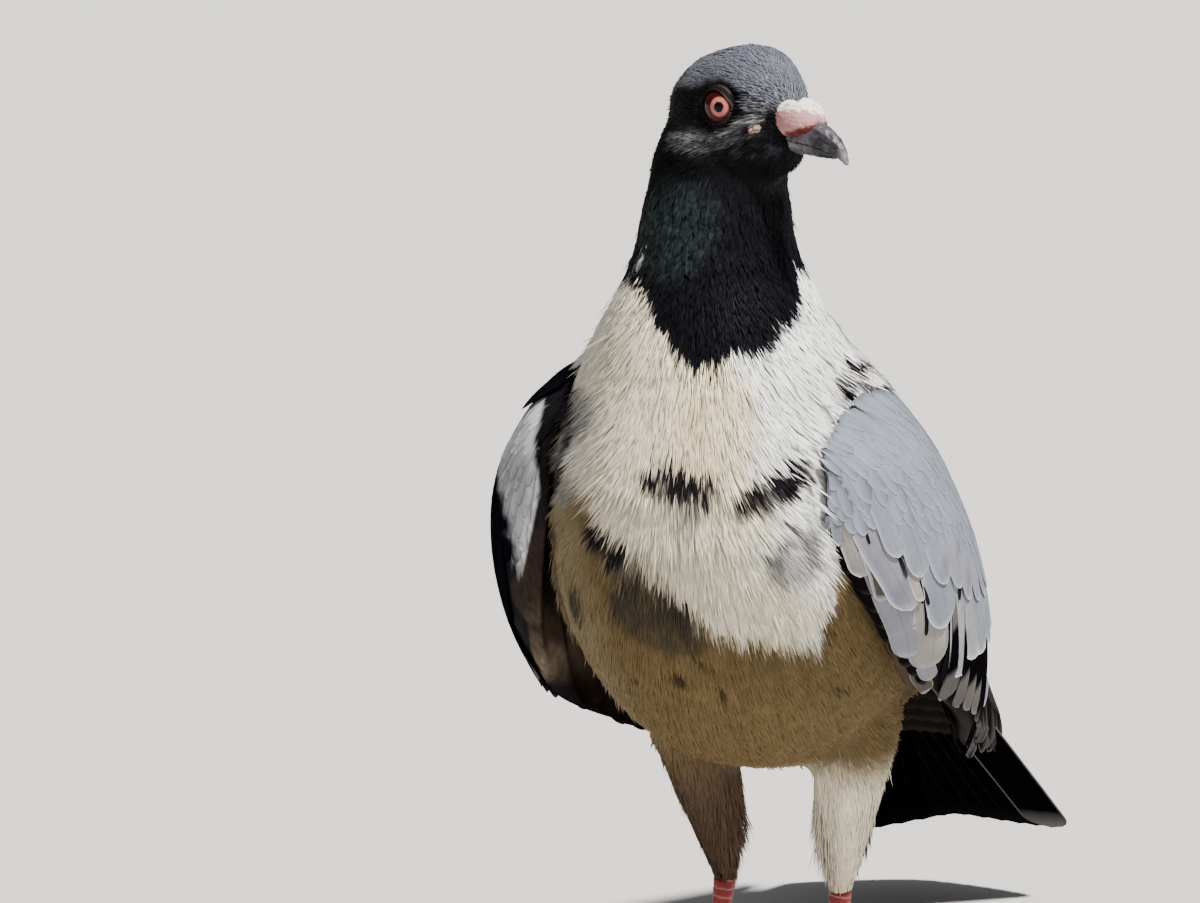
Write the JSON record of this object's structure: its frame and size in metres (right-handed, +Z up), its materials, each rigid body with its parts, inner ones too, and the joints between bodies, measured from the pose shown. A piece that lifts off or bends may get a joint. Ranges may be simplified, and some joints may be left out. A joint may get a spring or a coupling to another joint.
{
  "type": "standing pigeon",
  "caption": "Life-size feral pigeon standing still, head turned to its left, wings folded, black bib over a cream breast, blue-grey wings and red feet.",
  "frame": {"origin": "on the floor, under the middle of the bird's bounding box", "axes": "+Z up; the breast faces -Y and the tail points to +Y; +X is the bird's left side, to which the head is turned"},
  "size_m": [0.1178, 0.2514, 0.2481],
  "materials": {
    "head_feathers": "soft short slate feathers",
    "neck_feathers": "black feathers with a faint green and purple sheen",
    "breast_feathers": "soft cream-white feathers with a few grey patches",
    "covert_feathers": "smooth blue-grey feathers with pale edges",
    "flight_feathers": "stiff brown-black vanes",
    "tail_feathers": "stiff dark grey vanes with a black band",
    "eye": "wet cornea over an orange-red iris",
    "bill_horn": "satin dark horn",
    "cere_skin": "chalky bare skin",
    "leg_skin": "dull red scales",
    "claw_horn": "satin dark horn"
  },
  "bodies": {
    "root": {"head": "head_feathers", "neck": "neck_feathers", "trunk": "breast_feathers", "thigh_left": "breast_feathers", "thigh_right": "breast_feathers", "wing_left": "covert_feathers", "wing_right": "covert_feathers", "primaries_left": "flight_feathers", "primaries_right": "flight_feathers", "tail": "tail_feathers", "eye_left": "eye", "eye_right": "eye", "bill_upper": "bill_horn", "bill_lower": "bill_horn", "cere": "cere_skin", "shank_left": "leg_skin", "shank_right": "leg_skin", "foot_left": "leg_skin", "foot_right": "leg_skin", "claw_left_inner": "claw_horn", "claw_left_middle": "claw_horn", "claw_left_outer": "claw_horn", "claw_left_hind": "claw_horn", "claw_right_inner": "claw_horn", "claw_right_middle": "claw_horn", "claw_right_outer": "claw_horn", "claw_right_hind": "claw_horn"}
  },
  "joints": []
}
